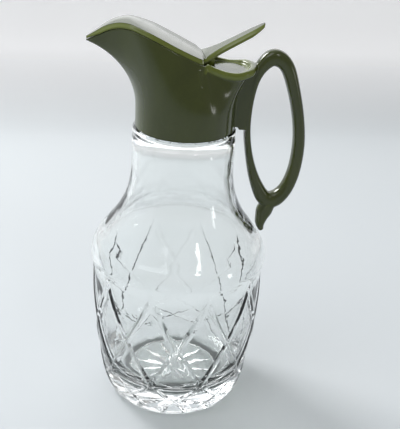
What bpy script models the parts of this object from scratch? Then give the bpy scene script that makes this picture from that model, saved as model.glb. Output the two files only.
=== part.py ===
"""Glass syrup jug with a screw-on pouring top, a thumb-lever lid and a ring handle.

Units are metres, +Z is up, and the origin is the middle of the glass foot, where the jug
stands. The spout points along -X and the handle along +X, so XZ is the plane of symmetry.
"""
import math

import bpy
import numpy as np

# Glass jar: turned, pressed glass. Each profile point is (radius, height).
JAR_FOOT_RADIUS = 0.0270
JAR_BELLY_RADIUS = 0.0392
JAR_GROOVE_RADIUS = 0.0380
JAR_SHOULDER_RADIUS = 0.0400
JAR_NECK_RADIUS = 0.0224
JAR_SHOULDER_HEIGHT = 0.0741
JAR_LEDGE_HEIGHT = 0.1328
JAR_LIP_HEIGHT = 0.1440
JAR_BASE_THICKNESS = 0.0110
JAR_WALL = 0.0027
FINISH_RADIUS = 0.0178
MOUTH_RADIUS = 0.0150
FOOT_RECESS_RADIUS = 0.0235
FOOT_RECESS_DEPTH = 0.0012

# Screw thread between the jar and the pouring top.
THREAD_PITCH = 0.0040
THREAD_TURNS = 1.25
THREAD_BASE = 0.0016
THREAD_CREST = 0.0007
THREAD_START = 0.1366
JAR_THREAD_RADIUS = 0.0190
TOP_THREAD_RADIUS = 0.0182
THREAD_ROOT_OVERLAP = 0.0005

# Pouring top: a round skirt that flows up into a pointed spout and a rounded rear well.
SKIRT_RADIUS = 0.0212
SKIRT_BORE = 0.0195
SKIRT_BOTTOM = 0.1331
SKIRT_TOP = 0.1420
FLANGE_BOTTOM = 0.1458
FLANGE_TOP = 0.1474
FLANGE_BORE = 0.0155
FLANGE_OUTER_RADIUS = 0.0202
WALL = 0.0018
SPOUT_TIP = -0.0420
WELL_END = 0.0286
BEAD_WIDTH = 0.0010
BEAD_HEIGHT = 0.0027

# Half of the rim's outline seen from above, from the spout's tip to the back: (x, y).
RIM_OUTLINE = [
    (SPOUT_TIP, 0.0), (-0.0410, 0.0012), (-0.0360, 0.0031), (-0.0290, 0.0066), (-0.0220, 0.0112),
    (-0.0140, 0.0148), (-0.0060, 0.0157), (0.0020, 0.0146), (0.0090, 0.0123), (0.0170, 0.0115),
    (0.0230, 0.0099), (0.0268, 0.0065), (WELL_END, 0.0),
]

# Height of the lid's edge along x, and of the open rim behind the lid: (x, z).
LID_EDGE_LINE = [
    (-0.0420, 0.1705), (-0.0380, 0.1730), (-0.0340, 0.1755), (-0.0300, 0.1772), (-0.0260, 0.1778),
    (-0.0220, 0.1772), (-0.0140, 0.1742), (-0.0060, 0.1703), (0.0020, 0.1664), (0.0060, 0.1646),
]
REAR_RIM_LINE = [(0.0060, 0.1640), (0.0110, 0.1616), (0.0160, 0.1601), (0.0210, 0.1597), (0.0286, 0.1611)]

# Lid and thumb lever: one moulding, folded at the crease over the hinge pin.
LID_THICKNESS = 0.0018
LID_CROWN = 0.0008
LID_SEAT_GAP = 0.0003
LID_WING_END = 0.0050
SEAT_END = 0.0072
TIP_SEAT_START = -0.0370
TIP_SEAT_LENGTH = 0.0050
TIP_SEAT_RISE = 0.0007
CREASE_X = 0.0065
LEVER_SLOPE = math.tan(math.radians(28.5))
LEVER_THICKNESS = 0.0024
LEVER_TIP = 0.0313
LEVER_OUTLINE = [
    (LID_WING_END, 0.0132), (0.0058, 0.0098), (0.0082, 0.0073), (0.0120, 0.0054), (0.0160, 0.0046),
    (0.0230, 0.0041), (0.0275, 0.0036), (0.0301, 0.0025), (0.0311, 0.0012), (LEVER_TIP, 0.0),
]

# Hinge: a wire pin through two ears on the deck and a knuckle under the lid.
HINGE_X = 0.0080
HINGE_Z = 0.1603
PIN_RADIUS = 0.0010
PIN_HALF_LENGTH = 0.0090
PIN_HOLE_RADIUS = 0.00115
BORE_REACH = 0.0120
KNUCKLE_RADIUS = 0.0024
KNUCKLE_HALF_WIDTH = 0.0068
KNUCKLE_TOP_FRONT = 0.1640
KNUCKLE_TOP_BACK = 0.1645
EAR_RADIUS = 0.0019
EAR_INNER_Y = 0.0072
EAR_OUTER_Y = 0.0091
DECK_TOP = 0.1570
DECK_THICKNESS = 0.0016
DECK_FRONT = 0.0031
SHELF_FRONT = 0.0116
SHELF_TOP = 0.1590
SHELF_OVERLAP = 0.0005
DAM_FRONT = 0.0024
DAM_BACK = 0.0040
DAM_RAISE = 0.0003
DAM_MIDDLE = 0.1597
DAM_TOP = 0.1623

# Ring handle's centre line, closed: (x, z, half width in its plane, half width along y).
HANDLE_RING = [
    (0.0368, 0.1637, 0.0036, 0.0036), (0.0424, 0.1598, 0.0031, 0.0036), (0.0468, 0.1483, 0.0027, 0.0035),
    (0.0500, 0.1350, 0.0026, 0.0035), (0.0511, 0.1235, 0.0027, 0.0035), (0.0501, 0.1118, 0.0028, 0.0035),
    (0.0470, 0.1030, 0.0031, 0.0035), (0.0420, 0.0984, 0.0038, 0.0036), (0.0372, 0.0998, 0.0034, 0.0035),
    (0.0325, 0.1088, 0.0024, 0.0032), (0.0293, 0.1195, 0.0017, 0.0030), (0.0275, 0.1310, 0.0015, 0.0030),
    (0.0276, 0.1430, 0.0015, 0.0030), (0.0290, 0.1535, 0.0020, 0.0031), (0.0320, 0.1604, 0.0029, 0.0034),
]

# Tail under the ring, from inside the ring down to its blunt end.
HANDLE_TAIL = [
    (0.0410, 0.0985, 0.0030, 0.0033), (0.0386, 0.0930, 0.0037, 0.0033), (0.0375, 0.0893, 0.0028, 0.0031),
    (0.0371, 0.0862, 0.0021, 0.0028), (0.0378, 0.0832, 0.0012, 0.0020),
]
WEB_HALF_THICKNESS = 0.0028

# Sealing ring between the glass lip and the flange.
SEAL_BOTTOM = 0.1443
SEAL_TOP = 0.1455
SEAL_INNER_RADIUS = 0.0153
SEAL_OUTER_RADIUS = 0.0190

ROUND_SEGMENTS = 48
RIM_STEPS = 36


def clear_scene():
    """Removes whatever the scene holds."""
    for thing in list(bpy.data.objects):
        bpy.data.objects.remove(thing)


def make_material(name, colour, roughness, alpha=1.0, transmission=0.0, metallic=0.0):
    """Returns a Principled material."""
    material = bpy.data.materials.new(name)
    material.use_nodes = True
    shader = material.node_tree.nodes["Principled BSDF"]
    shader.inputs["Base Color"].default_value = (*colour, 1.0)
    shader.inputs["Roughness"].default_value = roughness
    shader.inputs["Metallic"].default_value = metallic
    shader.inputs["Transmission Weight"].default_value = transmission
    shader.inputs["Alpha"].default_value = alpha
    return material


def make_object(name, vertices, faces, material):
    """Links a mesh object made of world coordinates."""
    mesh = bpy.data.meshes.new(name)
    mesh.from_pydata([tuple(v) for v in vertices], [], faces)
    mesh.materials.append(material)
    mesh.update()
    thing = bpy.data.objects.new(name, mesh)
    bpy.context.scene.collection.objects.link(thing)
    return thing


def combine(target, other, operation):
    """Unites target with other, or cuts other out of it, and removes other."""
    modifier = target.modifiers.new(operation, "BOOLEAN")
    modifier.operation = operation
    modifier.object = other
    graph = bpy.context.evaluated_depsgraph_get()
    result = bpy.data.meshes.new_from_object(target.evaluated_get(graph))
    target.modifiers.clear()
    target.data = result
    bpy.data.objects.remove(other)


def finish(thing, origin=(0.0, 0.0, 0.0), sharp_angle=35.0):
    """Moves the object's origin to a point and shades its round faces smooth."""
    for vertex in thing.data.vertices:
        vertex.co = [vertex.co[axis] - origin[axis] for axis in range(3)]
    thing.location = origin
    thing.data.shade_smooth()
    thing.data.set_sharp_from_angle(angle=math.radians(sharp_angle))


def smooth_path(points, steps, closed=False):
    """Returns a Catmull-Rom curve through the points, with the given steps between them."""
    points = np.array(points, dtype=float)
    count = len(points)
    if closed:
        padded = np.vstack([points[-1:], points, points[:2]])
        spans = count
    else:
        padded = np.vstack([2 * points[0] - points[1], points, 2 * points[-1] - points[-2]])
        spans = count - 1
    curve = []
    for span in range(spans):
        before, start, end, after = padded[span:span + 4]
        for step in range(steps):
            t = step / steps
            curve.append(0.5 * (2 * start + (end - before) * t
                                + (2 * before - 5 * start + 4 * end - after) * t ** 2
                                + (3 * start - before - 3 * end + after) * t ** 3))
    if not closed:
        curve.append(points[-1])
    return np.array(curve)


def resample(points, count):
    """Returns count points spaced evenly along a polyline."""
    lengths = np.linalg.norm(np.diff(points, axis=0), axis=1)
    travelled = np.concatenate([[0.0], np.cumsum(lengths)])
    wanted = np.linspace(0.0, travelled[-1], count)
    return np.column_stack([np.interp(wanted, travelled, column) for column in points.T])


def loft(name, rings, material, closed_section=False):
    """Skins a row of equal rings, either into a loop of rings or with a cap at each end."""
    count = len(rings[0])
    spans = len(rings) if closed_section else len(rings) - 1
    faces = []
    for ring in range(spans):
        low = ring * count
        high = ((ring + 1) % len(rings)) * count
        for i in range(count):
            j = (i + 1) % count
            faces.append((low + i, low + j, high + j, high + i))
    if not closed_section:
        faces.append(tuple(reversed(range(count))))
        faces.append(tuple(range(spans * count, (spans + 1) * count)))
    return make_object(name, np.vstack(rings), faces, material)


def turn(name, profile, material, segments=ROUND_SEGMENTS):
    """Turns a profile about Z. Points on the axis close the shape, otherwise it is a ring."""
    angles = np.linspace(0.0, 2 * math.pi, segments, endpoint=False)
    vertices = []
    rows = []
    for radius, height in profile:
        if radius < 1e-9:
            rows.append([len(vertices)] * segments)
            vertices.append((0.0, 0.0, height))
        else:
            rows.append(list(range(len(vertices), len(vertices) + segments)))
            vertices.extend((radius * math.cos(a), radius * math.sin(a), height) for a in angles)
    is_ring = profile[0][0] > 1e-9
    faces = []
    for row in range(len(rows) if is_ring else len(rows) - 1):
        low = rows[row]
        high = rows[(row + 1) % len(rows)]
        for i in range(segments):
            j = (i + 1) % segments
            corners = [low[i], low[j], high[j], high[i]]
            faces.append(tuple(dict.fromkeys(corners)))
    return make_object(name, vertices, faces, material)


def prism(name, outline, axis, low, high, material):
    """Extrudes a flat outline along Y or Z. The outline is (x, z) or (x, y), anticlockwise."""
    rings = []
    for level in (low, high):
        if axis == "Y":
            rings.append(np.array([(x, level, z) for x, z in reversed(outline)]))
        else:
            rings.append(np.array([(x, y, level) for x, y in outline]))
    return loft(name, rings, material)


def thread_ridge(name, wall_radius, crest_radius, start_height, material):
    """Returns a helical ridge of trapezoid section that stands on a round wall."""
    steps = int(40 * THREAD_TURNS)
    outward = 1.0 if crest_radius > wall_radius else -1.0
    root_radius = wall_radius - outward * THREAD_ROOT_OVERLAP
    section = [
        (root_radius, -THREAD_BASE / 2), (crest_radius, -THREAD_CREST / 2),
        (crest_radius, THREAD_CREST / 2), (root_radius, THREAD_BASE / 2),
    ]
    rings = []
    for step in range(steps + 1):
        angle = 2 * math.pi * THREAD_TURNS * step / steps
        rise = start_height + THREAD_PITCH * angle / (2 * math.pi)
        rings.append(np.array([(r * math.cos(angle), r * math.sin(angle), rise + dz) for r, dz in section]))
    if outward > 0:
        rings = [ring[::-1] for ring in rings]
    return loft(name, rings, material)


# ---------------------------------------------------------------- glass jar

def jar_outer_profile():
    """Returns the outer wall from the foot to the ledge under the pouring top."""
    heel = [(JAR_FOOT_RADIUS, 0.0), (0.0303, 0.0014), (0.0325, 0.0046), (0.0338, 0.0090)]
    belly = [(0.0362, 0.0220), (0.0382, 0.0370), (JAR_BELLY_RADIUS, 0.0530), (0.0390, 0.0620)]
    shoulder = [(JAR_GROOVE_RADIUS, 0.0672), (0.0392, 0.0702), (JAR_SHOULDER_RADIUS, JAR_SHOULDER_HEIGHT),
                (0.0382, 0.0795), (0.0338, 0.0858), (0.0288, 0.0928), (0.0248, 0.1010)]
    neck = [(0.0227, 0.1102), (JAR_NECK_RADIUS, 0.1200), (JAR_NECK_RADIUS, 0.1316)]
    return smooth_path(heel + belly + shoulder + neck, 2)


def make_jar(material):
    """Makes the glass jar with its threaded finish."""
    finish_wall = [(0.0218, JAR_LEDGE_HEIGHT), (FINISH_RADIUS, JAR_LEDGE_HEIGHT),
                   (FINISH_RADIUS, JAR_LIP_HEIGHT - 0.0006), (FINISH_RADIUS - 0.0006, JAR_LIP_HEIGHT),
                   (MOUTH_RADIUS + 0.0005, JAR_LIP_HEIGHT), (MOUTH_RADIUS, JAR_LIP_HEIGHT - 0.0005)]
    throat = [(MOUTH_RADIUS, 0.1330), (0.0178, 0.1285), (0.0197, 0.1230), (0.0199, 0.1120), (0.0222, 0.1010),
              (0.0262, 0.0915), (0.0325, 0.0820), (0.0367, 0.0745)]
    inside = [(JAR_BELLY_RADIUS - JAR_WALL, 0.0560), (0.0355, 0.0370), (0.0334, 0.0240), (0.0296, 0.0162),
              (0.0246, 0.0123), (0.0195, JAR_BASE_THICKNESS)]
    under = [(FOOT_RECESS_RADIUS - 0.001, FOOT_RECESS_DEPTH), (FOOT_RECESS_RADIUS, 0.0)]
    profile = [(0.0, FOOT_RECESS_DEPTH)] + under + list(jar_outer_profile()) + finish_wall
    profile += list(smooth_path(throat + inside, 1)) + [(0.0, JAR_BASE_THICKNESS)]
    jar = turn("glass_jar", profile, material)
    ridge = thread_ridge("jar_thread", FINISH_RADIUS, JAR_THREAD_RADIUS, THREAD_START, material)
    combine(jar, ridge, "UNION")
    finish(jar)


# ---------------------------------------------------------------- pouring top

def line_height(line, x):
    """Reads the height of an (x, z) line at x, on a smooth curve through its points."""
    curve = smooth_path(line, 6)
    return np.interp(x, curve[:, 0], curve[:, 1])


def rim_half_outline(inset):
    """Returns the rim's half outline, moved inward by inset, from the front to the back."""
    before = [(x, -y) for x, y in RIM_OUTLINE[1:2]]
    behind = [(x, -y) for x, y in RIM_OUTLINE[-2:-1]]
    mirrored = before + RIM_OUTLINE + behind
    outer = smooth_path(mirrored, 12)[12:-12]
    along = np.gradient(outer, axis=0)
    along /= np.linalg.norm(along, axis=1)[:, None]
    inward = np.column_stack([along[:, 1], -along[:, 0]])
    moved = outer + inset * inward
    kept = moved[moved[:, 1] > 0.0002] if inset > 0 else moved[1:-1]
    front = (kept[0, 0] - 0.0003, 0.0) if inset > 0 else outer[0]
    back = (kept[-1, 0] + 0.0001, 0.0) if inset > 0 else outer[-1]
    return resample(np.vstack([[front], kept, [back]]), RIM_STEPS + 1)


def rim_height(x):
    """Returns the rim's height: the lid's seat in front, and the open rim behind the lid."""
    seat = line_height(LID_EDGE_LINE, x) - LID_THICKNESS - LID_SEAT_GAP
    seat = seat + TIP_SEAT_RISE * np.clip((TIP_SEAT_START - x) / TIP_SEAT_LENGTH, 0.0, 1.0)
    return np.where(x < SEAT_END, seat, line_height(REAR_RIM_LINE, x))


def whole_loop(half):
    """Mirrors a half outline, from front to back along +Y, into a closed anticlockwise loop."""
    other_side = half[1:-1] * (1.0, -1.0)
    return np.vstack([other_side, half[::-1]])


def wall_point(base, rim, upright, v):
    """Returns a point on the wall's curve, which starts upright and flares towards the rim."""
    run = rim[:2] - base[:2]
    outward = float(np.dot(run, base[:2]) / np.linalg.norm(base[:2]))
    ease = min(max((outward + 0.003) / 0.009, 0.0), 1.0)
    lean = 0.35 + 0.35 * ease * ease * (3 - 2 * ease)
    top_pull = 0.0090 - 0.16 * max(outward, 0.0)
    climb = rim[2] - base[2]
    lower = base + np.array([0.0, 0.0, upright * climb])
    upper = rim - np.array([lean * run[0], lean * run[1], top_pull])
    u = 1.0 - v
    return u ** 3 * base + 3 * u * u * v * lower + 3 * u * v * v * upper + v ** 3 * rim


def wall_rings(radius, base_height, inset, upright, steps):
    """Returns the wall's rings from its round base up to its rim."""
    loop = whole_loop(rim_half_outline(inset))
    count = len(loop)
    angles = math.pi + 2 * math.pi * (np.arange(count) + 1) / count
    bases = np.column_stack([radius * np.cos(angles), radius * np.sin(angles), np.full(count, base_height)])
    heights = rim_height(loop[:, 0])
    rims = np.column_stack([loop, heights])
    rings = []
    for step in range(steps + 1):
        rings.append(np.array([wall_point(base, rim, upright, step / steps) for base, rim in zip(bases, rims)]))
    return rings


def add_bead(rings):
    """Thickens the open rim behind the lid into a rounded bead."""
    top = rings[-1]
    amount = np.clip((top[:, 0] - 0.006) / 0.003, 0.0, 1.0)[:, None]
    direction = top[:, :2] - np.array([0.012, 0.0])
    direction /= np.linalg.norm(direction, axis=1)[:, None]
    out = np.hstack([direction * BEAD_WIDTH, np.zeros((len(top), 1))])
    low = top + out - (0.0, 0.0, 0.7 * BEAD_HEIGHT)
    high = top + out - (0.0, 0.0, 0.3 * BEAD_HEIGHT)
    plain = rings[-2]
    low = amount * low + (1.0 - amount) * (0.6 * plain + 0.4 * top)
    high = amount * high + (1.0 - amount) * (0.2 * plain + 0.8 * top)
    return rings[:-1] + [low, high, top]


def outer_wall(steps):
    """Returns the rings of the wall's outer face above the round skirt."""
    return wall_rings(SKIRT_RADIUS, SKIRT_TOP, 0.0, 0.36, steps)


def section_at(height, inset):
    """Returns the loop where a level cut meets the wall, moved inward by inset."""
    loop = []
    for column in np.array(outer_wall(24)).transpose(1, 0, 2):
        x = np.interp(height, column[:, 2], column[:, 0])
        y = np.interp(height, column[:, 2], column[:, 1])
        length = math.hypot(x, y)
        loop.append((x * (1 - inset / length), y * (1 - inset / length)))
    return loop


def sweep(name, stations, material, closed, sides=12):
    """Sweeps an oval along a line in the XZ plane. A station is (x, z, half width, half depth)."""
    stations = np.array(stations)
    count = len(stations)
    rings = []
    for i in range(count):
        before = stations[(i - 1) % count] if closed else stations[max(i - 1, 0)]
        after = stations[(i + 1) % count] if closed else stations[min(i + 1, count - 1)]
        tangent = (after - before)[:2] / np.linalg.norm((after - before)[:2])
        normal = np.array([tangent[1], -tangent[0]])
        x, z, width, depth = stations[i]
        ring = []
        for side in range(sides):
            angle = 2 * math.pi * side / sides
            offset = width * math.cos(angle) * normal
            ring.append((x + offset[0], depth * math.sin(angle), z + offset[1]))
        rings.append(np.array(ring))
    return loft(name, rings, material, closed_section=closed)


def make_shell(material):
    """Makes the hollow body of the pouring top, open below and at its rim."""
    outer = outer_wall(9)
    outer = [outer[0] * (1, 1, 0) + (0, 0, SKIRT_BOTTOM)] + add_bead(outer)
    inner = wall_rings(SKIRT_BORE, FLANGE_BOTTOM, WALL, 0.20, 8)
    inner = [inner[0] * (1, 1, 0) + (0, 0, SKIRT_BOTTOM)] + inner
    return loft("pouring_top", outer + inner[::-1], material, closed_section=True)


def make_flange(material):
    """Makes the inward flange that presses the sealing ring on the glass."""
    profile = [(FLANGE_BORE, FLANGE_BOTTOM), (FLANGE_OUTER_RADIUS, FLANGE_BOTTOM),
               (FLANGE_OUTER_RADIUS, FLANGE_TOP), (FLANGE_BORE, FLANGE_TOP)]
    return turn("flange", profile, material, 2 * RIM_STEPS)


def well_plate(name, front, level, bottom, top, material):
    """Makes a level plate that fills the shell behind x = front and stands in its wall."""
    behind = [(x, y) for x, y in section_at(level, WALL / 2) if x > front]
    behind.sort(key=lambda point: math.atan2(point[1], point[0] - front))
    side = max(y for _, y in behind)
    return prism(name, [(front, -side)] + behind + [(front, side)], "Z", bottom, top, material)


def make_deck(material):
    """Makes the floor under the hinge, which roofs the chamber behind the dam."""
    bottom = DECK_TOP - DECK_THICKNESS
    middle = DECK_TOP - DECK_THICKNESS / 2
    return well_plate("deck", DECK_FRONT, middle, bottom, DECK_TOP, material)


def make_shelf(material):
    """Makes the raised floor of the rear well, behind the hinge."""
    middle = (DECK_TOP + SHELF_TOP) / 2
    return well_plate("shelf", SHELF_FRONT, middle, DECK_TOP - SHELF_OVERLAP, SHELF_TOP, material)


def middle_of_wall(x, height):
    """Returns how far the middle of the shell's wall is from the plane of symmetry."""
    right = sorted((px, py) for px, py in section_at(height, WALL / 2) if py > 0)
    return float(np.interp(x, *np.array(right).T))


def make_dam(material):
    """Makes the cross wall in front of the hinge, which keeps syrup out of the well."""
    rings = []
    for height in (DECK_TOP - DECK_THICKNESS + DAM_RAISE, DAM_MIDDLE, DAM_TOP):
        front = middle_of_wall(DAM_FRONT, height)
        back = middle_of_wall(DAM_BACK, height)
        rings.append(np.array([(DAM_FRONT, -front, height), (DAM_BACK, -back, height),
                               (DAM_BACK, back, height), (DAM_FRONT, front, height)]))
    return loft("dam", rings, material)


def make_ear(side, material):
    """Makes one of the two ears that carry the hinge pin."""
    arc = [math.radians(a) for a in range(0, 181, 20)]
    outline = [(HINGE_X + EAR_RADIUS * math.cos(a), HINGE_Z + EAR_RADIUS * math.sin(a)) for a in arc]
    foot = DECK_TOP - DECK_THICKNESS / 2
    outline = [(HINGE_X - EAR_RADIUS, foot), (HINGE_X + EAR_RADIUS, foot)] + outline
    low, high = sorted((side * EAR_INNER_Y, side * EAR_OUTER_Y))
    return prism("ear", outline, "Y", low, high, material)


def hinge_bore(material):
    """Makes the cutter for the pin's hole."""
    angles = [math.radians(15 * i) for i in range(24)]
    outline = [(HINGE_X + PIN_HOLE_RADIUS * math.cos(a), HINGE_Z + PIN_HOLE_RADIUS * math.sin(a)) for a in angles]
    return prism("hinge_bore", outline, "Y", -BORE_REACH, BORE_REACH, material)


def make_web(material):
    """Makes the plate that joins the handle's front arm to the back of the shell."""
    rear = np.array(outer_wall(24))[:, RIM_STEPS - 1]
    heights = np.linspace(0.1575, SKIRT_TOP, 5)
    wall = [(np.interp(h, rear[:, 2], rear[:, 0]) - WALL / 2, h) for h in heights]
    foot = SKIRT_BOTTOM + 0.0004
    wall += [(SKIRT_RADIUS - WALL / 2, foot), (JAR_NECK_RADIUS + 0.0006, foot)]
    wall.append((JAR_NECK_RADIUS + 0.0009, foot - 0.0012))
    front_arm = [(0.0272, foot - 0.0012), (0.0272, 0.1430), (0.0287, 0.1530), (0.0312, 0.1592)]
    return prism("web", front_arm + wall, "Y", -WEB_HALF_THICKNESS, WEB_HALF_THICKNESS, material)


def make_pouring_top(material):
    """Makes the moulding of shell, flange, thread, deck, ears and handle."""
    top = make_shell(material)
    combine(top, make_flange(material), "UNION")
    combine(top, make_deck(material), "UNION")
    combine(top, make_shelf(material), "UNION")
    combine(top, make_dam(material), "UNION")
    for side in (-1, 1):
        combine(top, make_ear(side, material), "UNION")
    start = THREAD_START - THREAD_PITCH / 2
    combine(top, thread_ridge("top_thread", SKIRT_BORE, TOP_THREAD_RADIUS, start, material), "UNION")
    combine(top, make_web(material), "UNION")
    ring = sweep("ring", smooth_path(HANDLE_RING, 3, closed=True), material, closed=True)
    combine(top, ring, "UNION")
    tail = sweep("tail", smooth_path(HANDLE_TAIL, 3), material, closed=False)
    combine(top, tail, "UNION")
    combine(top, hinge_bore(material), "DIFFERENCE")
    finish(top)


# ---------------------------------------------------------------- lid, pin and sealing ring

def lid_half_outline():
    """Returns the lid's half outline from the spout's tip to the lever's tip."""
    front = rim_half_outline(0.0)
    front = front[front[:, 0] < LID_WING_END - 0.001]
    front = front + (0.0004, 0.0) * (front[:, :1] < -0.0395)
    lever = smooth_path(LEVER_OUTLINE, 3)
    return np.vstack([front, lever])


def lid_top_height(x):
    """Returns the height of the lid's upper edge, which folds up into the lever at the crease."""
    flap = line_height(LID_EDGE_LINE, x)
    crease = line_height(LID_EDGE_LINE, 0.0060)
    lever = crease + LEVER_SLOPE * (x - CREASE_X)
    return np.where(x < CREASE_X, flap, np.maximum(lever, crease))


def make_lid(material):
    """Makes the lid and its thumb lever with the hinge knuckle below."""
    outline = lid_half_outline()
    across = np.linspace(-1.0, 1.0, 9)
    rings = []
    for x, half_width in outline:
        half_width = max(half_width, 0.0003)
        edge = float(lid_top_height(x))
        blend = min(max((x - LID_WING_END) / 0.004, 0.0), 1.0)
        thickness = LID_THICKNESS + (LEVER_THICKNESS - LID_THICKNESS) * blend
        thickness *= 1.0 - 0.4 * min(max((x - 0.026) / 0.005, 0.0), 1.0)
        thickness *= 1.0 - 0.5 * min(max((-0.036 - x) / 0.005, 0.0), 1.0)
        crown = LID_CROWN * (1.0 - blend) * min(half_width / 0.010, 1.0)
        upper = [(x, s * half_width, edge + crown * (1 - s * s)) for s in across]
        lower = [(x, s * half_width, edge - thickness + crown * (1 - s * s)) for s in across[::-1]]
        rings.append(np.array(upper + lower)[::-1])
    lid = loft("lid", rings, material)
    combine(lid, make_knuckle(material), "UNION")
    combine(lid, hinge_bore(material), "DIFFERENCE")
    finish(lid, origin=(HINGE_X, 0.0, HINGE_Z))


def make_knuckle(material):
    """Makes the hinge knuckle and the neck that joins it to the lid."""
    arc = [math.radians(a) for a in range(180, 361, 15)]
    outline = [(HINGE_X + KNUCKLE_RADIUS * math.cos(a), HINGE_Z + KNUCKLE_RADIUS * math.sin(a)) for a in arc]
    outline += [(HINGE_X + KNUCKLE_RADIUS, KNUCKLE_TOP_BACK), (HINGE_X - KNUCKLE_RADIUS, KNUCKLE_TOP_FRONT)]
    return prism("knuckle", outline, "Y", -KNUCKLE_HALF_WIDTH, KNUCKLE_HALF_WIDTH, material)


def make_pin(material):
    """Makes the wire hinge pin."""
    angles = [math.radians(22.5 * i) for i in range(16)]
    outline = [(HINGE_X + PIN_RADIUS * math.cos(a), HINGE_Z + PIN_RADIUS * math.sin(a)) for a in angles]
    pin = prism("hinge_pin", outline, "Y", -PIN_HALF_LENGTH, PIN_HALF_LENGTH, material)
    finish(pin, origin=(HINGE_X, 0.0, HINGE_Z))


def make_sealing_ring(material):
    """Makes the flat ring that seals the glass lip."""
    profile = [(SEAL_INNER_RADIUS, SEAL_BOTTOM), (SEAL_OUTER_RADIUS, SEAL_BOTTOM),
               (SEAL_OUTER_RADIUS, SEAL_TOP), (SEAL_INNER_RADIUS, SEAL_TOP)]
    finish(turn("sealing_ring", profile, material))


def main():
    clear_scene()
    glass = make_material("clear_glass", (0.86, 0.90, 0.88), 0.03, alpha=0.35, transmission=0.9)
    olive = make_material("olive_plastic", (0.085, 0.100, 0.020), 0.22)
    steel = make_material("pin_steel", (0.60, 0.60, 0.58), 0.30, metallic=1.0)
    seal = make_material("seal_rubber", (0.75, 0.73, 0.66), 0.60)
    make_jar(glass)
    make_pouring_top(olive)
    make_lid(olive)
    make_pin(steel)
    make_sealing_ring(seal)


main()
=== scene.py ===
"""Looks of the glass syrup jug: ribbed pressed glass, the olive pouring top with its ring
handle, the lever lid, the hinge pin and the sealing ring, on a pale floor in soft light.

The model's frame is metres, +Z up, spout towards -X and handle towards +X. Outlines below are
in millimetres of that frame (named ..._MM) and meshes are scaled to metres when they are made.
"""

import math

import bmesh
import bpy
import numpy as np
from mathutils import Matrix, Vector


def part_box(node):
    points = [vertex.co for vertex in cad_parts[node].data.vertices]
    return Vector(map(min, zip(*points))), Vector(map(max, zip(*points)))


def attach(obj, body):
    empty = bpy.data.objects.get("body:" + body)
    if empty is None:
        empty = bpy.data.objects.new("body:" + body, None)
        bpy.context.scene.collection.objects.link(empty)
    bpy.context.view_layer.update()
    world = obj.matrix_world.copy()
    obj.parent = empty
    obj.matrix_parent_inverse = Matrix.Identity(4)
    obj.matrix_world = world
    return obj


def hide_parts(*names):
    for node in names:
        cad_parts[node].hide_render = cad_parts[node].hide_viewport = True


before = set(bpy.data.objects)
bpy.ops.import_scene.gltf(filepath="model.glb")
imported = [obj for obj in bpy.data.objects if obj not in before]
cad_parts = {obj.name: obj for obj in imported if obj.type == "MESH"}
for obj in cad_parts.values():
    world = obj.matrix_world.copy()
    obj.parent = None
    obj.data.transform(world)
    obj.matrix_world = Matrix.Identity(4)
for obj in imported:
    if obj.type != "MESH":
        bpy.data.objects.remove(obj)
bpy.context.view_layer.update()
MM = 0.001


def box_mm(node):
    """Returns a CAD node's lowest and highest corner in millimetres."""
    low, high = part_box(node)
    return np.array(low) / MM, np.array(high) / MM


_, GLASS_HIGH = box_mm("glass_jar")
TOP_LOW, _ = box_mm("pouring_top")
PIN_LOW, PIN_HIGH = box_mm("hinge_pin")
SEAL_LOW, SEAL_HIGH = box_mm("sealing_ring")
_, LID_HIGH = box_mm("lid")
HINGE_X_MM, _, HINGE_Z_MM = (PIN_LOW + PIN_HIGH) / 2

# Glass: outer wall between the ribs, from the foot up, and the inner wall, from the mouth down.
LIP_Z = GLASS_HIGH[2]
LEDGE_Z = LIP_Z - 11.2
FOOT_RADIUS = 27.0
HEEL_MM = [(FOOT_RADIUS, 0.0), (28.2, 0.25), (30.0, 1.3), (31.6, 3.2), (32.7, 5.6)]
BELLY_MM = [(33.5, 9.0), (35.7, 22.0), (37.6, 37.0), (38.45, 53.0), (38.45, 62.0), (38.6, 66.0)]
SHOULDER_MM = [
    (39.1, 69.0), (39.65, 71.4), (GLASS_HIGH[0] - 0.12, 74.1), (38.2, 79.5), (33.8, 85.8),
    (28.8, 92.8), (24.8, 101.0),
]
NECK_MM = [(22.7, 110.2), (22.4, 120.0), (22.4, LEDGE_Z - 1.4)]
FINISH_RADIUS = 17.8
MOUTH_RADIUS = 15.0
THROAT_MM = [
    (MOUTH_RADIUS, 135.2), (16.0, 132.4), (18.4, 129.4), (19.8, 125.0), (20.1, 117.0),
    (20.4, 109.5), (22.2, 101.0), (26.2, 91.5), (32.5, 82.0), (36.7, 74.5),
]
FLOOR_Z = 11.0
INSIDE_MM = [(36.5, 56.0), (35.5, 37.0), (33.4, 24.0), (29.6, 16.2), (24.6, 12.3), (19.5, FLOOR_Z)]
RECESS_RADIUS = 23.5
RECESS_DEPTH = 1.2

# Ribs: ten right-hand and ten left-hand ribs cross in a net. SPREAD gives how far, in degrees,
# a rib has turned from its apex at each height.
RIB_COUNT = 10
RIB_PERIOD = 360.0 / RIB_COUNT
RIB_PHASE = -112.5
RIB_HEIGHT = 0.52
RIB_HALF = 3.1
SPREAD = [
    (71.0, -2.6), (66.2, 0.0), (58.0, 5.2), (51.0, 10.6), (42.0, 18.0), (31.0, 27.0), (20.7, 36.0),
    (15.6, 45.0), (11.4, 54.0), (8.2, 63.0), (5.6, 72.0),
]
BAND_TURNS = 4
RIB_FADE_IN = (5.0, 10.0)
RIB_FADE_OUT = (69.5, 71.0)

# Star pressed into the underside.
STAR_RAYS = 12
STAR_PHASE = 12.0
STAR_INNER = 2.5
STAR_OUTER = 21.0
STAR_HALF_WIDTH = 2.1
STAR_DEPTH = 0.8

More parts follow.
